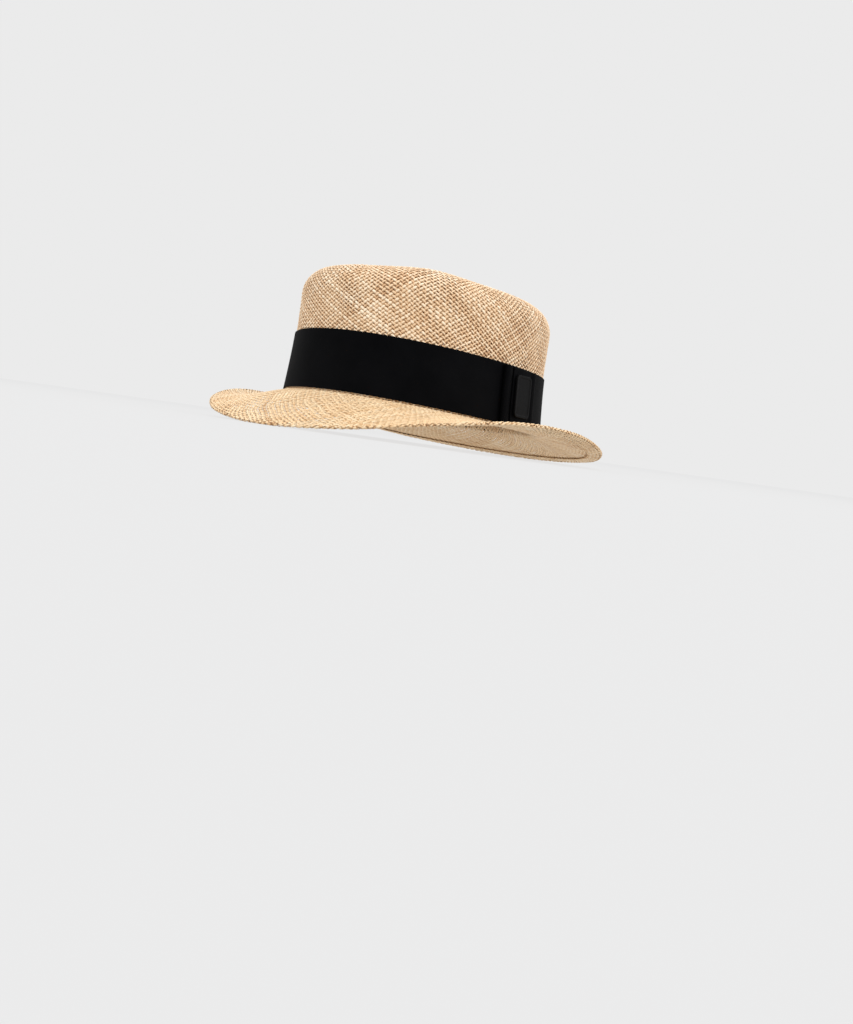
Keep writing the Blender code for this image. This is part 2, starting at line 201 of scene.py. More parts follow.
def brimTop(azimuth, reach):
    # how far out and how high the brim's upper face is, at a share of the way out
    degrees = np.degrees(azimuth) % 360.0
    degrees = np.minimum(degrees, 360.0 - degrees)
    width, dip, dish = (hat[key] * readRow(list(zip(brimAngles, shares)), degrees, True)
                        for key, shares in brimForm.items())
    start = hat["breakRadius"] - hat["strawWall"] - hat["clearance"]
    height = -dip * readRow(brimFall, reach) - dish * readRow(brimSag, reach)
    return np.stack((start + (width - start) * reach, height), -1)


def brimBelow(azimuth, reach, depth):
    # point under the brim's upper face, square to it, and the two directions there
    along = unit(brimTop(azimuth, reach) - brimTop(azimuth, reach - 0.01))
    up = np.stack((-along[..., 1], along[..., 0]), -1)
    return brimTop(azimuth, reach) - up * depth, along, up


def brimPoint(share, run):
    # run goes down the collar, over the brim, round the fold and back under the hem
    azimuth, run = np.broadcast_arrays(azimuthAt(share), run)
    inside = -hat["strawWall"] - hat["clearance"]
    turn = math.pi / 2 - np.clip((run - collarRun) / hat["breakRadius"], 0, math.pi / 2)
    collarHeight = hat["collarHeight"] - np.clip(run, 0, collarRun)
    low = np.where(run < collarRun, collarHeight, hat["breakRadius"] * (1 - np.cos(turn)))
    collar = wallPoint(azimuth, low, inside + hat["breakRadius"] * (1 - np.sin(turn)))
    run = run - collarRun - filletRun
    width = brimTop(azimuth, 1.0)[..., 0] - brimTop(azimuth, 0.0)[..., 0]
    last = 1 - hemRadius / width
    over = brimTop(azimuth, np.clip(run / topRun, 0, 1) * last)
    edge, along, up = brimBelow(azimuth, last, hemRadius)
    bend = np.clip((run - topRun) / hemRadius, 0, math.pi)[..., None]
    fold = edge + up * hemRadius * np.cos(bend) + along * hemRadius * np.sin(bend)
    back = np.clip(run - topRun - foldRun, 0, None)
    under = brimBelow(azimuth, last - back / width, 2 * hemRadius)[0]
    section = np.where((run < topRun + foldRun)[..., None], fold, under)
    section = np.where((run < topRun)[..., None], over, section)
    outward, height = section[..., 0], section[..., 1]
    fade = 1 - np.clip(outward / hat["brimWidth"], 0, 1)
    height = height + hat["breakSaddle"] * np.cos(2 * azimuth) * fade
    brim = ovalPoint(azimuth, hat["crownWidth"] / 2, hat["crownLength"] / 2, outward, height)
    return np.where((run < 0)[..., None], collar, brim)


def brimGirth(run):
    run = run - collarRun - filletRun
    width = hat["brimWidth"] * np.mean(brimForm["brimWidth"])
    outward = np.clip(run / topRun, 0, 1) * (width - hemRadius)
    outward = outward - np.clip(run - topRun - foldRun, 0, None)
    return ovalGirth(hat["crownWidth"] / 2 + outward, hat["crownLength"] / 2 + outward)


def surfaceNormal(surface, share, run, face):
    step = 2e-4
    around = surface(share + step, run) - surface(share - step, run)
    along = surface(share, run + step) - surface(share, run - step)
    return unit(np.cross(around, along)) * face


def meshFrom(name, points, faces, material, corners, values=None):
    # one object from arrays of points and faces, with its map and with values for each point
    mesh = bpy.data.meshes.new(name)
    mesh.from_pydata(points, [], faces)
    corners = np.asarray(corners, np.float32).ravel()
    mesh.uv_layers.new(name="OFBake").data.foreach_set("uv", corners)
    for key, numbers in (values or {}).items():
        layer = mesh.attributes.new(key, "FLOAT", "POINT")
        layer.data.foreach_set("value", np.asarray(numbers, np.float32).ravel())
    mesh.transform(hatMatrix)
    mesh.materials.append(material)
    mesh.shade_smooth()
    piece = bpy.data.objects.new(name, mesh)
    bpy.context.scene.collection.objects.link(piece)
    return piece


def addPiece(piece, node):
    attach(piece, "root")
    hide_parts(node)
    print(piece.name, len(piece.data.polygons), "faces")


# free margins in the map, as shares of a strand's or a row's own place; a cap reaches into the
# strand's end margin, with corners that zigzag so that its face has width there
mapMargin = {"side": 0.06, "end": 0.03, "cap": 0.45, "zigzag": 0.1, "row": 0.02}


def stripMap(strips, samples, corners, rows):
    # lays strips side by side in a square, in rows, so that every face has its own place
    columns = math.ceil(strips / rows)
    column, row = np.arange(strips) % columns, np.arange(strips) // columns
    left, wide = (column + mapMargin["side"]) / columns, (1 - 2 * mapMargin["side"]) / columns
    low, tall = (row + mapMargin["end"]) / rows, (1 - 2 * mapMargin["end"]) / rows
    across = left[:, None, None] + wide * np.arange(corners + 1)[None, None, :] / corners
    upward = low[:, None, None] + tall * (np.arange(samples)[None, :, None] + 0.5) / samples
    grid = np.stack(np.broadcast_arrays(across, upward), -1)
    sides = np.stack((grid[:, :-1, :-1], grid[:, :-1, 1:], grid[:, 1:, 1:], grid[:, 1:, :-1]), 3)
    half = np.array((0.0, tall * mapMargin["cap"] / samples))
    lift = np.where(np.arange(corners) % 2 == 0, mapMargin["zigzag"], 1.0)[None, :, None]
    caps = []
    for end, step in ((0, -half), (-1, half)):
        a, b = grid[:, end, 0], grid[:, end, -1]
        across = np.linspace(0, 1, corners)[None, :, None] * (b - a)[:, None, :]
        caps.append(across + a[:, None, :] + lift * step)
    return [part.reshape(-1, 2) for part in (sides, *caps)]


def stripFaces(strips, samples, corners, first):
    index = first + np.arange(strips * samples * corners).reshape(strips, samples, corners)
    after = np.roll(index, -1, axis=2)
    sides = np.stack((index[:, :-1], after[:, :-1], after[:, 1:], index[:, 1:]), -1)
    ends = index[:, 0, ::-1].tolist() + index[:, -1, :].tolist()
    return sides.reshape(-1, 4).tolist() + ends


# How the straw is woven. Strands of one family climb to one side, and the other family
# crosses them.
weave = {
    "crown": {
        "spacing": 0.00230,        # between the middles of neighbouring strands
        "strands": 140,            # in each family
        "cover": 0.83,             # width of a strand as a share of its spacing
        "halfThickness": 0.00032,
        "swing": 0.00030,          # how far a strand rises and dips at a crossing
        "open": 0.10,              # how much the cover differs from place to place
        "press": 0.50,             # how far one family stands out in places
        "favour": 0.0,             # and everywhere
        "paler": 0.0,              # painted light: how much paler one family is than the other, as if lit better along its direction
        "uneven": 0.12,            # difference in width between strands
        "wander": 0.00040,         # slow drift of the whole weave
        "stray": 0.00010,          # drift of a single strand
        "waves": 1.0,              # larger makes the drift quicker
    },
    "brim": {
        "spacing": 0.00220,
        "strands": 208,
        "cover": 0.95,
        "halfThickness": 0.00024,
        "swing": 0.00018,
        "open": 0.05,
        "press": 0.40,
        "favour": -0.20,
        "paler": -0.03,
        "uneven": 0.18,
        "wander": 0.00045,
        "stray": 0.00032,
        "waves": 1.4,
    },
    "tipStrands": (70, 36, 18, 9),
    "tipGirths": (0.367, 0.200, 0.105, 0.055, 0.026),  # of the rings where the top's zones meet
    "lean": 0.042,                 # one family lies flatter by this share of a crossing
    "slantRange": (0.05, 0.985),   # flattest and steepest that strands climb
    "runSteps": 600,               # for counting the crossings
    "flatness": 1.35,              # how long a strand stays up or down
    "thickSpread": 0.12,           # difference in thickness between strands
    "calmEnds": 0.004,             # no drift so close to the ends
    "alongShare": 0.7,             # the weave drifts less along its strands than round the hat
    "strayRates": (60, 200),       # how quickly a single strand drifts
    "strayRatio": 2.3,             # and how much quicker its second wave is
    "toneSpread": 0.085,           # difference in colour between straws
    "mostCover": 0.99,
    "strawLengths": (0.03, 0.14),  # shortest and longest
    "firstCut": 0.08,              # the first straw is shorter by up to this
    "strawsMost": 12,              # straws after each other in a strand
    "rareShare": 0.04,             # of straws that are much darker, and of much paler ones
    "rareTones": (-0.22, 0.18),    # how much darker and paler
    "edgeSwing": 2.2,              # the brim's edge is this much rougher
    "edgeCover": 0.76,             # and its strands are this much narrower
    "edgeDipShade": 9.0,               # and painted dark where they dip, as painted shade
    "edgeDips": 0.3,               # below this share of their swing
    "edgeSpan": (0.4, 0.8),        # in this part of the fold
    "edgeMargin": 0.001,           # how far the rougher edge goes past the fold
    "driftWaves": 14,              # waves that add up to the drift of the whole weave
    "driftTurns": 24,              # most that one of them counts round the hat
    "driftRates": (20, 170),       # and how quickly it changes across it
    "seed": 87,
}
chance = np.random.default_rng(weave["seed"])
waveCount = weave["driftWaves"]
driftTurns = chance.integers(-weave["driftTurns"], weave["driftTurns"] + 1, waveCount)
driftRates = chance.uniform(*weave["driftRates"], waveCount) * chance.choice((-1, 1), waveCount)
driftPhases = chance.uniform(0, 2 * math.pi, (4, waveCount))

# each surface with its girth, and 1 or -1 for the way that its outside looks
surfaces = {"crown": (crownPoint, crownGirth, 1), "brim": (brimPoint, brimGirth, -1)}


def drift(share, run, quickness):
    # four slow waverings over the surface, about -1 to 1 each and the same for both families
    angle = 2 * math.pi * share[..., None] * np.round(driftTurns * quickness)
    angle = angle + run[..., None] * driftRates * quickness
    return [np.sin(angle + phases).sum(-1) / math.sqrt(waveCount / 2) for phases in driftPhases]


def climbOf(girth, count, spacing):
    # how steeply strands climb, as rise over length round the hat
    slant = np.clip(spacing * count / girth, *weave["slantRange"])
    return slant / np.sqrt(1 - slant**2)


def strandSteps(girth, count, spacing, start, stop, fold):
    # a strand's sections, two to a crossing and four in a fold, and where they lie on its way up
    runs = np.linspace(start, stop, weave["runSteps"])
    rate = 2 * count / girth(runs) / climbOf(girth(runs), count, spacing)
    levels = np.concatenate(([0.0], np.cumsum((rate[1:] + rate[:-1]) / 2 * np.diff(runs))))
    last = levels[-1]
    steps = np.arange(0.25, last, 0.5)
    if fold:
        low, high = np.interp(fold, runs, levels)
        extra = np.arange(0.0, last, 0.5)
        steps = np.sort(np.concatenate((steps, extra[(extra > low) & (extra < high)])))
    steps = np.concatenate(([0.0], steps, [last]))
    return steps, np.interp(steps, levels, runs)


def layStrands(part, count, start, stop, side, fold=None):
    # sections of one family of strands between two places of a surface, four corners each
    surface, girth, face = surfaces[part]
    straw = weave[part]
    steps, run = strandSteps(girth, count, straw["spacing"], start, stop, fold)
    weight = 0.5 - side * weave["lean"]
    share = (np.arange(count)[:, None] + side * weight * steps[None, :]) / count
    run = np.broadcast_to(run[None, :], share.shape).copy()
    around = girth(run)
    climb = climbOf(around, count, straw["spacing"]) * 0.5 / weight
    pitch = (around / count * climb / np.sqrt(1 + climb**2))[..., None]

    # both families drift together, each strand a little on its own
    calm = np.clip((run - start) / weave["calmEnds"], 0, 1)
    calm = calm * np.clip((stop - run) / weave["calmEnds"], 0, 1)
    driftRound, driftAlong, openness, press = drift(share, run, straw["waves"])
    phases = chance.uniform(0, 2 * math.pi, (2, count, 1))
    rates = chance.uniform(*weave["strayRates"], (2, count, 1))
    own = np.sin(run * rates[0] + phases[0])
    own = own + np.sin(run * rates[1] * weave["strayRatio"] + phases[1])
    share = share + (driftRound * straw["wander"] + own * straw["stray"]) * calm / around
    run = run + driftAlong * straw["wander"] * weave["alongShare"] * calm

    centre = surface(share, run)
    normal = surfaceNormal(surface, share, run, face)
    sideways = unit(np.cross(normal, unit(np.gradient(centre, axis=1))))

    # over and under at each crossing
    bias = (straw["press"] * press.clip(-1, 1) + straw["favour"]) * calm
    wave = (weave["flatness"] * np.cos(math.pi * steps)[None, :] + bias) * side
    wave = np.clip(wave, -1, 1)
    swing = np.full(wave.shape, straw["swing"])
    cover = straw["cover"] * (1 - straw["open"] * openness.clip(-1.5, 1.5))
    # the swing also goes into the colour: painted highlight where a strand rises over, painted
    # shade where it dips under
    depth = wave
    if fold:
        atFold = (run > fold[0]) & (run < fold[1])
        swing = np.where(atFold, swing * weave["edgeSwing"], swing)
        cover = np.where(atFold, cover * weave["edgeCover"], cover)
        # painted shade: in the middle of the fold the dips are painted nearly dark, for the
        # shadowed flecks along the edge
        low, high = np.interp(weave["edgeSpan"], (0, 1), fold)
        below = wave < weave["edgeDips"]
        depth = np.where((run > low) & (run < high) & below, -weave["edgeDipShade"], wave)

    uneven = 1 + straw["uneven"] * chance.normal(0, 1, (count, 1, 1)).clip(-2, 1.0)
    wide = pitch / 2 * np.minimum(cover[..., None] * uneven, weave["mostCover"])
    uneven = 1 + weave["thickSpread"] * chance.normal(0, 1, (count, 1, 1)).clip(-2, 2)
    thick = straw["halfThickness"] * uneven
    middle = centre + normal * ((swing * wave)[..., None] - hat["strawWall"] / 2)
    rings = np.stack((middle + sideways * wide, middle + normal * thick,
                      middle - sideways * wide, middle - normal * thick), 2)
    length = lengthAlong(centre)
    # one family's tones shifted as painted light
    return rings, strandTones(length) + side * straw["paler"], length, depth


def strandTones(length):
    # each straw keeps its own tone for a while, then the next straw takes over
    tones = np.zeros(length.shape)
    most, (darker, paler) = weave["strawsMost"], weave["rareTones"]
    for strand in range(len(length)):
        ends = np.cumsum(chance.uniform(*weave["strawLengths"], most))
        ends = ends - chance.uniform(0, weave["firstCut"])
        colours = chance.normal(0.5, weave["toneSpread"], most + 1)
        rare = chance.random(most + 1)
        colours = colours + np.where(rare < weave["rareShare"], darker, 0.0)
        colours = colours + np.where(rare > 1 - weave["rareShare"], paler, 0.0)
        tones[strand] = np.clip(colours[np.searchsorted(ends, length[strand])], 0, 1)
    return tones


def strandPiece(name, families, part, rows):
    # joins families of strands into one piece
    points, faces, maps = [], [], []
    values = {"tone": [], "along": [], "across": [], "rise": [], "crest": []}
    first = 0
    for number, (rings, tones, length, depth) in enumerate(families):
        count, samples, corners, _ = rings.shape
        points.append(rings.reshape(-1, 3))
        faces += stripFaces(count, samples, corners, first)
        first += count * samples * corners
        for places in stripMap(count, samples, corners, rows):
            maps.append(places * (1 / len(families), 1) + (number / len(families), 0))
        # painted highlight along the middle of each face of a strand, the face towards the head
        # scaled by inner; the edges stay darker, as painted shade
        turn = 2 * math.pi * np.arange(corners) / corners
        inner = np.where(turn < math.pi, 1.0, -strawLooks[part]["inner"])
        values["tone"].append(np.repeat(tones, corners))
        values["along"].append(np.repeat(length, corners))
        # the swing, carried as painted highlight and painted shade
        values["rise"].append(np.repeat(depth, corners))
        values["across"].append(np.tile(-np.cos(turn), count * samples)
                                + np.repeat(np.arange(count), samples * corners)
                                * strawLooks["strandStep"])
        values["crest"].append(np.tile(inner * np.sin(turn), count * samples))
    return meshFrom(name, np.concatenate(points), faces, straws[part], np.concatenate(maps),
                    {key: np.concatenate(numbers) for key, numbers in values.items()})


# Straw: honey coloured, with pale and reddish strands, darker patches and straws, and painted
# highlight and shade over each strand's swing and section
strawLooks = {
    "crown": {
        "dark": (0.20, 0.085, 0.035, 1.0),
        "warm": (0.50, 0.280, 0.135, 1.0),
        "honey": (0.72, 0.490, 0.285, 1.0),
        "pale": (0.90, 0.745, 0.555, 1.0),
        "tones": 1.0,              # strength of the difference between straws
        "patches": 0.50,           # of the large patches
        "fibres": 0.45,            # of the fibres
        "rise": 0.20,              # of the painted highlight where a strand rises over and the painted shade where it dips under
        "crest": 0.38,             # of the painted highlight along a strand's middle against its sides, which read as painted shade
        "inner": 0.8,              # how strong that painted highlight is on the side towards the head
        "shift": 0.705,            # larger is darker
    },
    "brim": {
        "dark": (0.22, 0.090, 0.035, 1.0),
        "warm": (0.58, 0.330, 0.150, 1.0),
        "honey": (0.77, 0.530, 0.295, 1.0),
        "pale": (0.91, 0.750, 0.520, 1.0),
        "tones": 0.75,
        "patches": 0.40,
        "fibres": 0.85,
        "rise": 0.05,
        "crest": 0.05,
        "inner": 1.6,
        "shift": 0.415,
    },
    "places": (0.02, 0.30, 0.58, 0.95),  # of the four colours
    "patchScale": 38.0,
    "fibreScales": (260.0, 2.2),   # along and across a straw
    "strandStep": 7.0,             # from one strand's fibres to the next
    "fibreBump": 0.35,
    "roughness": 0.45,
    "specular": 0.45,
}


def newMaterial(name):
    material = bpy.data.materials.new(name)
    material.use_nodes = True
    nodes, links = material.node_tree.nodes, material.node_tree.links
    return material, nodes, links, nodes["Principled BSDF"]


def setInputs(node, values):
    for key, value in values.items():
        node.inputs[key].default_value = value


def addNode(nodes, kind, settings=None, **inputs):
    node = nodes.new(kind)
    for key, value in (settings or {}).items():
        setattr(node, key, value)
    setInputs(node, inputs)
    return node


def noiseOf(nodes, links, scale, detail):
    place = addNode(nodes, "ShaderNodeTexCoord")
    noise = addNode(nodes, "ShaderNodeTexNoise", Scale=scale, Detail=detail, Roughness=0.6)
    links.new(place.outputs["Object"], noise.inputs["Vector"])
    return noise.outputs["Fac"]


def noiseBetween(nodes, links, output, low, high):
    # a noise's middle range, spread between two values
    spread = addNode(nodes, "ShaderNodeMapRange")
    setInputs(spread, {"From Min": 0.3, "From Max": 0.7, "To Min": low, "To Max": high})
    links.new(output, spread.inputs["Value"])
    return spread.outputs["Result"]


def addBump(nodes, links, shader, height, strength, distance):
    bump = addNode(nodes, "ShaderNodeBump", Strength=strength, Distance=distance)
    links.new(height, bump.inputs["Height"])
    links.new(bump.outputs["Normal"], shader.inputs["Normal"])


def scaled(nodes, links, output, scale, more=None):
    # an output times a number, plus another output or a number
    node = addNode(nodes, "ShaderNodeMath", {"operation": "MULTIPLY_ADD"})
    node.inputs[1].default_value = scale
    links.new(output, node.inputs[0])
    if isinstance(more, bpy.types.NodeSocket):
        links.new(more, node.inputs[2])
    else:
        node.inputs[2].default_value = more or 0.0
    return node.outputs[0]


def strawMaterial(name, look):
    material, nodes, links, shader = newMaterial(name)
    value = {key: addNode(nodes, "ShaderNodeAttribute", {"attribute_name": key}).outputs["Fac"]
             for key in ("tone", "along", "across", "rise", "crest")}
    patches = noiseOf(nodes, links, strawLooks["patchScale"], 3.0)

    # fibres run along each straw
    fibrePlace = addNode(nodes, "ShaderNodeCombineXYZ")
    for key, axis, scale in zip(("along", "across"), "XY", strawLooks["fibreScales"]):
        links.new(scaled(nodes, links, value[key], scale), fibrePlace.inputs[axis])
    fibreNoise = addNode(nodes, "ShaderNodeTexNoise", Scale=1.0, Detail=4.0, Roughness=0.65)
    links.new(fibrePlace.outputs[0], fibreNoise.inputs["Vector"])
    fibres = fibreNoise.outputs["Fac"]

    # everything that makes a straw paler or darker, added up: its tones, patches and fibres, and
    # the painted highlight and shade of rise and crest
    total = -look["shift"]
    for output, key in ((value["tone"], "tones"), (patches, "patches"), (fibres, "fibres"),
                        (value["rise"], "rise"), (value["crest"], "crest")):
        total = scaled(nodes, links, output, look[key], total)
    ramp = addNode(nodes, "ShaderNodeValToRGB")
    spots, places = ramp.color_ramp.elements, strawLooks["places"]
    spots[0].position, spots[0].color = places[0], look["dark"]
    spots[1].position, spots[1].color = places[3], look["pale"]
    for position, colour in zip(places[1:3], ("warm", "honey")):
        spots.new(position).color = look[colour]
    links.new(total, ramp.inputs["Fac"])
    links.new(ramp.outputs["Color"], shader.inputs["Base Color"])
    addBump(nodes, links, shader, fibres, strawLooks["fibreBump"], 0.0002)
    setInputs(shader, {"Roughness": strawLooks["roughness"],
                       "Specular IOR Level": strawLooks["specular"]})
    return material


straws = {part: strawMaterial(part + "_straw", strawLooks[part]) for part in ("crown", "brim")}
print("straw mixed for crown and brim")

# Crown: side and rim as two families, each a piece of its own
climbs = np.linspace(0.09, 0.17, 4000)    # lengths up the crown that reach all its rings
ringRuns = [float(np.interp(-girth, -crownGirth(climbs), climbs)) for girth in weave["tipGirths"]]
for side, name in ((1, "crown_straw_left"), (-1, "crown_straw_right")):
    family = layStrands("crown", weave["crown"]["strands"], 0.0, ringRuns[0], side)
    addPiece(strandPiece(name, [family], "crown", 3), "crown")

# Top of the crown: fewer strands towards the middle, each zone woven like the side
zones = []
for count, start, stop in zip(weave["tipStrands"], ringRuns, ringRuns[1:]):
    for side in (1, -1):
        zones.append(layStrands("crown", count, start, stop, side))
addPiece(strandPiece("crown_tip_straw", zones, "crown", 2), "crown")

# Twined rings hold the ends where the zones meet, and a coiled button closes the middle
twine = {
    "radius": 0.00045,
    "turn": 0.0042,            # length of one turn of the two plies
    "apart": 0.8,              # distance of a ply from the middle, in radii
    "steps": 6,                # sections in a turn
    "lift": 0.0002,            # above the crown's surface
    "buttonRadius": 0.0052,
    "buttonTurns": 3,
    "buttonHeart": 0.35,       # turns that would still fit inside
    "buttonSteps": 40,         # sections in a turn of the coil
    "buttonLength": 0.06,
}


def tubeStrand(path, up, radius, corners, total):
    # round strand along a path, with its tones, lengths and rise
    travel = unit(np.gradient(path, axis=0))
    across = unit(np.cross(up, travel))
    over = np.cross(travel, across)
    turn = 2 * math.pi * np.arange(corners)[:, None] / corners
    tube = path[:, None] + radius * (np.cos(turn) * across[:, None] + np.sin(turn) * over[:, None])
    length = np.linspace(0, total, len(path))[None]
    return tube[None], strandTones(length), length, np.zeros(length.shape)


def twinedPly(run, girth, ply):
    # one of the two plies that turn round each other
    turns = round(girth / twine["turn"])
    share = np.arange(turns * twine["steps"] + 2) / (turns * twine["steps"])
    turn = 2 * math.pi * (share * turns + ply)
    apart = twine["radius"] * twine["apart"]
    up = surfaceNormal(crownPoint, share, np.full(len(share), run), 1)
    path = crownPoint(share, run + apart * np.cos(turn))
    path = path + up * (twine["lift"] + apart * np.sin(turn))[:, None]
    return tubeStrand(path, up, twine["radius"], 4, girth)


def coiledButton(run):
    turns = twine["buttonTurns"] + twine["buttonHeart"]
    coil = np.arange(twine["buttonTurns"] * twine["buttonSteps"]) / twine["buttonSteps"]
    reach = twine["buttonRadius"] * (1 - coil / turns)
    height = crownPoint(np.zeros(1), np.array([run]))[0, 2] + twine["lift"]
    path = np.stack((reach * np.cos(2 * math.pi * coil),
                     reach * np.sin(2 * math.pi * coil) - hat["crownLean"],
                     np.full(len(coil), height)), -1)
    up = np.broadcast_to((0.0, 0.0, 1.0), path.shape)
    return tubeStrand(path, up, twine["buttonRadius"] / turns / 2, 6, twine["buttonLength"])


rings = [twinedPly(run, girth, ply)
         for run, girth in zip(ringRuns[:4], weave["tipGirths"]) for ply in (0.0, 0.5)]
rings.append(coiledButton(ringRuns[4]))
addPiece(strandPiece("crown_tip_rings", rings, "crown", 1), "crown")

# Brim: from inside the crown's foot over the edge to the hem
edgeRun = collarRun + filletRun + topRun
brimEnd = edgeRun + foldRun + hat["hemWidth"]
foldSpan = (edgeRun - weave["edgeMargin"], edgeRun + foldRun + weave["edgeMargin"])
for side, name in ((1, "brim_straw_left"), (-1, "brim_straw_right")):
    family = layStrands("brim", weave["brim"]["strands"], 0.0, brimEnd, side, foldSpan)
    addPiece(strandPiece(name, [family], "brim", 3), "brim")
print("crown and brim woven")

# Ribbon: black, with fine ribs across its length and a firm edge
ribbon = {
    "rib": 0.00060,            # from rib to rib
    "ribDepth": 0.00005,
    "edge": 0.0010,            # width of the firm edge
    "edgeRise": 0.00005,
    "cloth": 0.00060,          # thickness
    "low": 0.0008,             # its lower edge above the break between crown and brim
    "high": 0.0401,
    "slack": 0.00012,          # height of gentle waves where the ribbon doesn't lie tight
    "slackWaves": ((7, 0, 1.1, 0.5), (17, 60, 0.0, 0.3)),  # (round, per metre up, start, strength)
    "dark": (0.0013, 0.0014, 0.0018, 1.0),
    "light": (0.0026, 0.0027, 0.0033, 1.0),
    "patchScale": 45.0,
    "grainScale": 2600.0,
    "grainBump": 0.25,
    "roughness": 0.60,
    "specular": 0.022,
    "sheen": 0.003,
}
ribbonCloth, nodes, links, shader = newMaterial("ribbon_cloth")
mix = addNode(nodes, "ShaderNodeMix", {"data_type": "RGBA"}, A=ribbon["dark"], B=ribbon["light"])
patches = noiseOf(nodes, links, ribbon["patchScale"], 3.0)
links.new(noiseBetween(nodes, links, patches, 0.0, 1.0), mix.inputs["Factor"])
links.new(mix.outputs["Result"], shader.inputs["Base Color"])
grain = noiseOf(nodes, links, ribbon["grainScale"], 2.0)
addBump(nodes, links, shader, grain, ribbon["grainBump"], 0.0001)
setInputs(shader, {"Roughness": ribbon["roughness"], "Specular IOR Level": ribbon["specular"],
                   "Sheen Weight": ribbon["sheen"]})


def ribbonPoint(azimuth, height, outward):
    # point at a distance outside the ribbon's outer face
    return wallPoint(azimuth, height, hat["clearance"] + hat["ribbonWall"] + outward)


def clothSection(half):
    # rows across a ribbon as (place, firm edge or not, how strongly ribs show)
    edge = ribbon["edge"]
    low = [(-half, 0, 0.2), (-half + edge * 0.4, 1, 0.5), (-half + edge, 0, 1.0)]
    high = [(-place, firm, rib) for place, firm, rib in low[::-1]]
    return np.array(low + [(half * share, 0, 1.0) for share in (-0.5, 0.0, 0.5)] + high)


def ribbedCloth(path, halves, closed=True):
    # outer and inner rows along a path of (along, outward), with a rib every second point
    if closed:
        along = np.roll(path, -1, axis=0) - np.roll(path, 1, axis=0)
    else:
        along = np.gradient(path, axis=0)
    normal = unit(np.stack((-along[:, 1], along[:, 0]), -1))
    columns = []
    for number, half in enumerate(halves):
        rows = clothSection(half)
        rib = (0.5 if number % 2 == 0 else -0.5) * ribbon["ribDepth"]
        outer = rib * rows[:, 2] + ribbon["edgeRise"] * rows[:, 1]
        lift = np.concatenate((outer, np.full(len(rows), -ribbon["cloth"])))
        place = path[number] + normal[number] * lift[:, None]
        columns.append(np.column_stack((place, np.concatenate((rows[:, 0], rows[::-1, 0])))))
    return np.array(columns)


def closedPath(points):
    # the closed path again, with an even number of points half a rib apart
    points = np.append(points, points[:1], axis=0)
    length = lengthAlong(points[:, :2])
    count = 2 * round(length[-1] / ribbon["rib"])
    at = np.arange(count) / count * length[-1]
    return np.stack([np.interp(at, length, column) for column in points.T], -1)


def ringMesh(name, grid, rows):
    # closed both ways: first index runs round the loop, second round the section, and the map
    # takes so many rows
    count, ring, _ = grid.shape
    index = np.arange(count * ring).reshape(count, ring)
    after = np.roll(index, -1, axis=0)
    faces = np.stack((index, after, np.roll(after, -1, axis=1), np.roll(index, -1, axis=1)), -1)
    wide = math.ceil(count / rows)
    column, row = np.arange(count) % wide, np.arange(count) // wide
    low, tall = row[:, None] + mapMargin["row"], 1 - 2 * mapMargin["row"]
    corners = np.zeros((count, ring, 4, 2))
    for corner, (right, up) in enumerate(((0, 0), (1, 0), (1, 1), (0, 1))):
        corners[:, :, corner, 0] = ((column + right) / wide)[:, None]
        corners[:, :, corner, 1] = (low + tall * (np.arange(ring) + up)[None, :] / ring) / rows
    return meshFrom(name, grid.reshape(-1, 3), faces.reshape(-1, 4).tolist(), ribbonCloth,
                    corners.reshape(-1, 2))


ribbonMiddle = (ribbon["high"] + ribbon["low"]) / 2
ribbonHalf = (ribbon["high"] - ribbon["low"]) / 2
ribCount = round(crownGirth(np.array(0.0)) / ribbon["rib"])
bandShare = np.arange(2 * ribCount) / (2 * ribCount)
columns = ribbedCloth(np.stack((bandShare, np.zeros(2 * ribCount)), -1),
                      np.full(2 * ribCount, ribbonHalf), False)
azimuth, outward, height = azimuthAt(bandShare)[:, None], columns[..., 1], columns[..., 2]
slack = sum(strength * np.sin(azimuth * turns + height * climb + start)
            for turns, climb, start, strength in ribbon["slackWaves"])
grid = ribbonPoint(azimuth, ribbonMiddle + height, outward + ribbon["slack"] * slack)
addPiece(ringMesh("ribbon_band_cloth", grid, 6), "ribbon_band")

# Flat bow: two loops that open a little at their ends, and a knot wrapped round the middle.
# Its rows are (share of the way to an end, value).
bow = {
    "azimuth": 87.5,
    "length": 0.0350,
    "fullness": 0.0027,        # how far the loops open at their ends
    "knotWidth": 0.0205,
    "lift": ((0.0, 1.0), (0.67, 1.0), (0.77, 0.75), (0.88, 0.35), (1.0, 0.10)),
    "open": ((0.0, 0.0), (0.67, 0.02), (0.77, 0.35), (0.88, 0.80), (1.0, 1.0)),
    "height": ((0.0, 0.91), (0.67, 0.91), (0.77, 0.93), (0.88, 0.95), (1.0, 0.96)),
    "layerSteps": 96,
    "foldSteps": 12,
    "cornerSteps": 7,
}


def azimuthAlong(distance):
    # azimuth at a distance along the ribbon from the middle of the bow, towards the back
    middle = math.radians(bow["azimuth"])
    return middle + distance / math.hypot(hat["crownWidth"] / 2 * math.cos(middle),
                                          hat["crownLength"] / 2 * math.sin(middle))


def bowLayers(reach):
    # outer face of the back layer and of the front layer, outside the ribbon
    lift = (hat["ribbonWall"] + hat["clearance"]) * readRow(bow["lift"], reach)
    back = hat["clearance"] + lift
    gap = hat["clearance"] + bow["fullness"] * readRow(bow["open"], reach)
    return back, back + 2 * hat["ribbonWall"] + gap


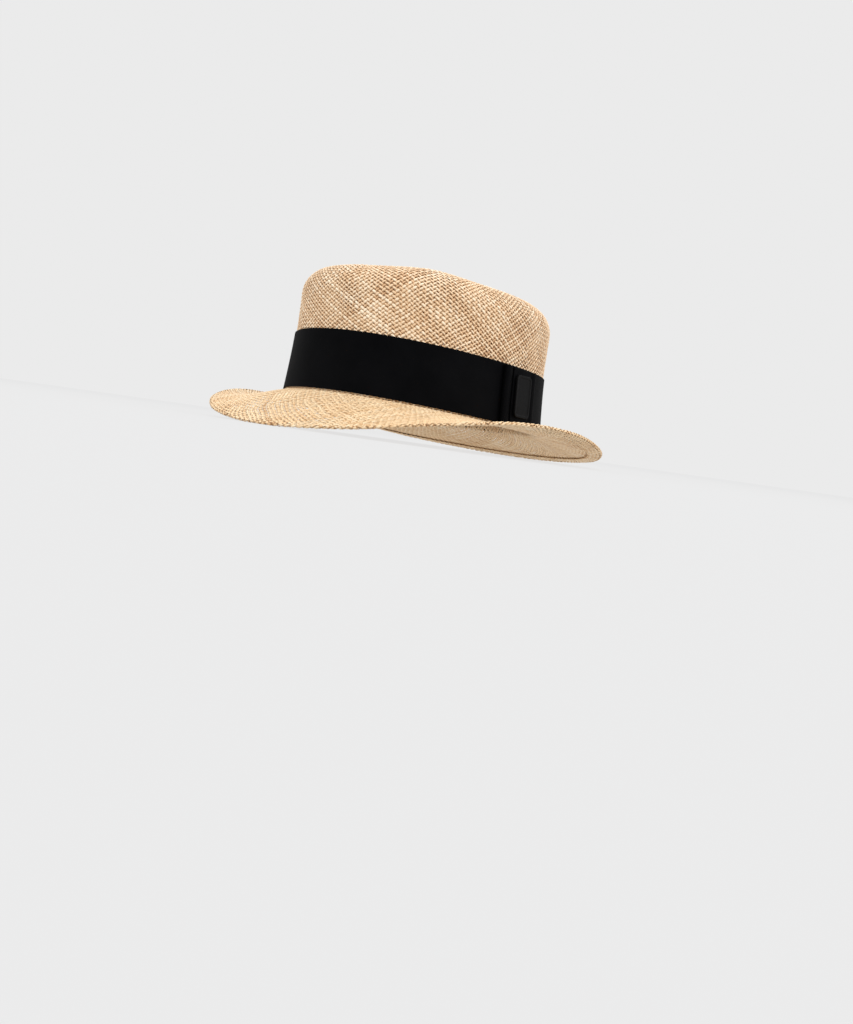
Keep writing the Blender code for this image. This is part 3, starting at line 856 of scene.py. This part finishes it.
def loopsPath():
    # round both loops seen from above, as (along, outward, share of the way to an end)
    backEnd, frontEnd = bowLayers(np.array(1.0))
    fold, centre = (frontEnd - backEnd) / 2, (frontEnd + backEnd) / 2
    half = bow["length"] / 2 - fold
    reach = np.linspace(-1, 1, bow["layerSteps"])
    backLayer, frontLayer = bowLayers(np.abs(reach))
    turn = np.linspace(0, math.pi, bow["foldSteps"])[1:-1]
    bend, rise, end = half + fold * np.sin(turn), fold * np.cos(turn), np.ones(len(turn))
    return closedPath(np.concatenate((
        np.stack((half * reach, frontLayer, np.abs(reach)), -1),
        np.stack((bend, centre + rise, end), -1),
        np.stack((half * reach, backLayer, np.abs(reach)), -1)[::-1],
        np.stack((-bend, centre - rise, end), -1))))


def knotPath():
    # the knot's ribbon runs up the front and down behind, so its ribs lie level
    corner = hat["ribbonWall"] + hat["clearance"]
    back, front = hat["clearance"], bowLayers(np.array(0.0))[1] + corner
    half = ribbonHalf * bow["height"][0][1] + corner
    points = []
    for face, side, direction, start in ((front, 1, 1, 0.5), (front, -1, 1, 0.0),
                                         (back, -1, -1, 1.5), (back, 1, -1, 1.0)):
        for turn in np.linspace(start, start - 0.5, bow["cornerSteps"]) * math.pi:
            points.append((side * (half - corner) + corner * math.sin(turn),
                           face - direction * corner + corner * math.cos(turn)))
    return closedPath(np.array(points)[::-1])


path = loopsPath()
columns = ribbedCloth(path[:, :2], ribbonHalf * readRow(bow["height"], path[:, 2]))
grid = ribbonPoint(azimuthAlong(columns[..., 0]), ribbonMiddle + columns[..., 2], columns[..., 1])
addPiece(ringMesh("bow_loops_cloth", grid, 1), "bow_loops")
path = knotPath()
columns = ribbedCloth(path, np.full(len(path), bow["knotWidth"] / 2))
grid = ribbonPoint(azimuthAlong(columns[..., 2]), ribbonMiddle + columns[..., 0], columns[..., 1])
addPiece(ringMesh("bow_knot_cloth", grid, 1), "bow_knot")
print("ribbon and bow sewn on")

# Plain plate: the solid itself, in satin enamel
plate = {
    "colour": (0.0030, 0.0030, 0.0033, 1.0),
    "roughness": (0.39, 0.55),
    "specular": 0.06,
    "mottleScale": 700.0,
    "bump": 0.08,
}
enamel, nodes, links, shader = newMaterial("plate_enamel_satin")
mottle = noiseOf(nodes, links, plate["mottleScale"], 3.0)
links.new(noiseBetween(nodes, links, mottle, *plate["roughness"]), shader.inputs["Roughness"])
addBump(nodes, links, shader, mottle, plate["bump"], 0.0001)
setInputs(shader, {"Base Color": plate["colour"], "Specular IOR Level": plate["specular"]})
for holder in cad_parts["plate"].material_slots:
    holder.material = enamel
print("plate in satin enamel")

# Floor: a wide pale sheet that glows a little, like a light table, and is clear from below
stage = {"radius": 14.0, "corners": 128, "colour": (0.065, 0.065, 0.066, 1.0), "glow": 0.73}
white = (1.0, 1.0, 1.0, 1.0)
ring = []
for corner in range(stage["corners"]):
    angle = 2 * math.pi * corner / stage["corners"]
    ring.append((stage["radius"] * math.cos(angle), stage["radius"] * math.sin(angle), 0.0))
floorPaint, nodes, links, shader = newMaterial("floor_paint")
setInputs(shader, {"Base Color": stage["colour"], "Roughness": 1.0, "Specular IOR Level": 0.0,
                   "Emission Color": white, "Emission Strength": stage["glow"]})
clear = addNode(nodes, "ShaderNodeBsdfTransparent")
facing = addNode(nodes, "ShaderNodeNewGeometry")
mix = addNode(nodes, "ShaderNodeMixShader")
links.new(facing.outputs["Backfacing"], mix.inputs["Fac"])
links.new(shader.outputs["BSDF"], mix.inputs[1])
links.new(clear.outputs["BSDF"], mix.inputs[2])
links.new(mix.outputs["Shader"], nodes["Material Output"].inputs["Surface"])
floorMesh = bpy.data.meshes.new("floor")
floorMesh.from_pydata(ring, [], [list(range(stage["corners"]))])
floorMesh.materials.append(floorPaint)
floor = bpy.data.objects.new("floor", floorMesh)
bpy.context.scene.collection.objects.link(floor)

# Camera at the photo's angle: fitted to the hat's outline, and kept 6 mm above the floor.
# Focal length and height are in pixels.
view = {
    "place": (0.4521, -0.59188, 0.006),
    "turn": (85.8355, -7.9806, 36.4781),
    "focal": 1025.5,
    "height": 1024,
    "sensor": 36,
    "clip": (0.003, 40),
}
camera = bpy.data.objects.new("camera", bpy.data.cameras.new("camera"))
bpy.context.scene.collection.objects.link(camera)
camera.location = view["place"]
camera.rotation_euler = [math.radians(angle) for angle in view["turn"]]
camera.data.sensor_width = view["sensor"]
camera.data.lens = view["sensor"] * view["focal"] / view["height"]
camera.data.clip_start, camera.data.clip_end = view["clip"]
bpy.context.scene.camera = camera

# Soft studio light: a pale room that is brighter overhead, and large lamps
studio = {"horizon": 0.83, "overhead": 1.30, "from": 0.50, "to": 0.70}
lamps = {
    "overhead": {"at": (0.25, -0.45, 1.5), "size": 0.7, "watts": 8.1},
    "left": {"at": (-0.70, -1.10, 0.55), "size": 0.4, "watts": 2.1},
    "right": {"at": (1.30, 0.15, 0.60), "size": 0.5, "watts": 4.6},
}
lampAim = (0, 0, 0.05)
for name, lamp in lamps.items():
    light = bpy.data.lights.new(name, "AREA")
    light.shape, light.size, light.energy = "DISK", lamp["size"], lamp["watts"]
    holder = bpy.data.objects.new(name, light)
    bpy.context.scene.collection.objects.link(holder)
    holder.location = lamp["at"]
    aim = Vector(lampAim) - Vector(lamp["at"])
    holder.rotation_euler = aim.to_track_quat("-Z", "Y").to_euler()
world = bpy.data.worlds.new("studio")
world.use_nodes = True
nodes, links = world.node_tree.nodes, world.node_tree.links
direction = addNode(nodes, "ShaderNodeTexCoord")
split = addNode(nodes, "ShaderNodeSeparateXYZ")
links.new(direction.outputs["Generated"], split.inputs[0])
rise = addNode(nodes, "ShaderNodeMapRange", {"interpolation_type": "SMOOTHSTEP"})
setInputs(rise, {"From Min": studio["from"], "From Max": studio["to"],
                 "To Min": studio["horizon"], "To Max": studio["overhead"]})
links.new(split.outputs["Z"], rise.inputs["Value"])
links.new(rise.outputs["Result"], nodes["Background"].inputs["Strength"])
setInputs(nodes["Background"], {"Color": white})
bpy.context.scene.world = world
bpy.context.scene.view_settings.view_transform = "Standard"
print("floor, camera and light in place")
